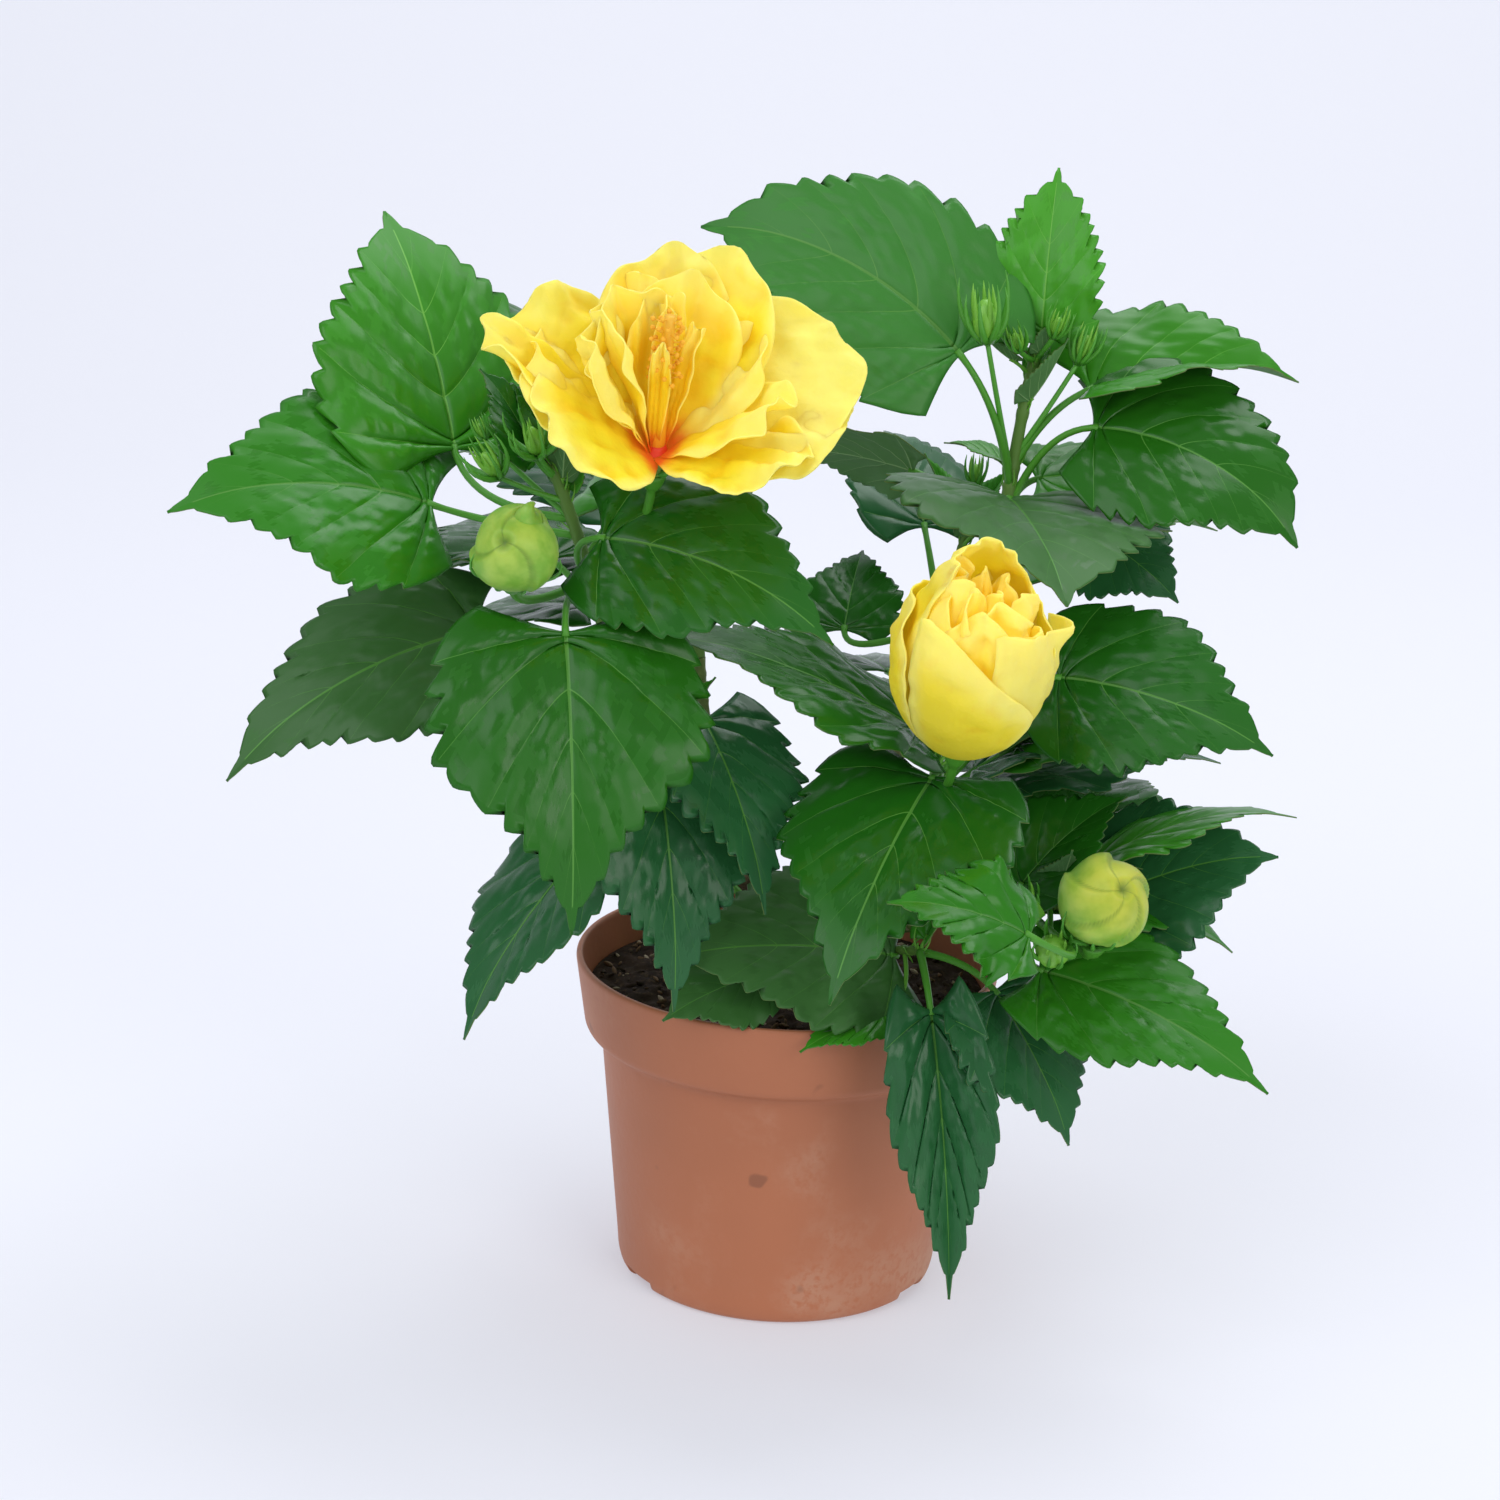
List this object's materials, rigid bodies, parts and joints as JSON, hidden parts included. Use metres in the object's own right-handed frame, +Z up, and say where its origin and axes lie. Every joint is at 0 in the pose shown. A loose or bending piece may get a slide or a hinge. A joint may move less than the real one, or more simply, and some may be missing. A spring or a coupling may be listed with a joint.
{
  "type": "potted hibiscus shrub",
  "caption": "Potted hibiscus shrub with broad toothed leaves, a large open double bloom, a half-open bloom and round buds, in a tapered plastic nursery pot.",
  "frame": {"origin": "middle of the pot's flat underside", "axes": "+Z up, +X to the viewer's right, -Y towards the viewer, as the picture sees the plant"},
  "size_m": [0.3248, 0.2552, 0.3429],
  "materials": {
    "terracotta_plastic": "moulded, slightly dusty",
    "peat": "coarse, damp",
    "bark": "grey-brown young bark, greener to the tips",
    "leaf": "glossy above, dull and paler below",
    "petal": "soft, satin",
    "bud": "satin"
  },
  "bodies": {
    "root": {"pot": "terracotta_plastic", "soil": "peat", "main_stem": "bark", "left_bough": "bark", "lower_left_bough": "bark", "back_left_bough": "bark", "right_bough": "bark", "middle_right_bough": "bark", "lower_right_bough": "bark", "front_bough": "bark", "back_right_bough": "bark", "open_bloom": "petal", "half_open_bloom": "petal", "left_round_bud": "bud", "right_round_bud": "bud", "left_foliage": "leaf", "lower_left_foliage": "leaf", "back_left_foliage": "leaf", "upper_right_foliage": "leaf", "middle_right_foliage": "leaf", "lower_right_foliage": "leaf", "front_foliage": "leaf", "back_right_foliage": "leaf"}
  },
  "joints": []
}
